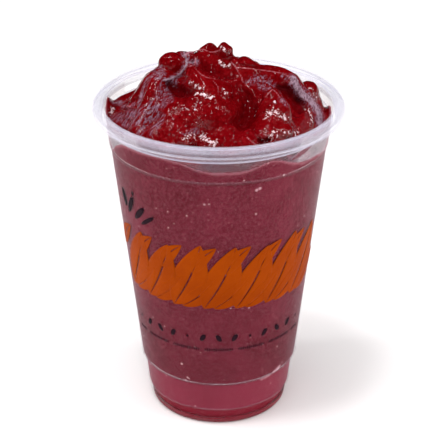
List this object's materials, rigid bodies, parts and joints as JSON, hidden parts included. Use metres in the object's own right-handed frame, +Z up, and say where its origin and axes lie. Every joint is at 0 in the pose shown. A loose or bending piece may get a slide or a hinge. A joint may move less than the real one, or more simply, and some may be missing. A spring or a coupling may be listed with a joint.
{
  "type": "berry smoothie",
  "caption": "Thick dark berry smoothie heaped in soft folds above the rim of a tapered clear plastic cup with a rolled rim, stacking shoulders and a plain printed band.",
  "frame": {"origin": "centre of the ring that the cup stands on", "axes": "+Z up along the cup's axis, -Y towards the front of the drink, +X to its right"},
  "size_m": [0.095, 0.095, 0.1483],
  "materials": {
    "clear_cup": "gloss",
    "berry_drink": "gloss"
  },
  "bodies": {
    "root": {"cup": "clear_cup", "smoothie": "berry_drink"}
  },
  "joints": []
}
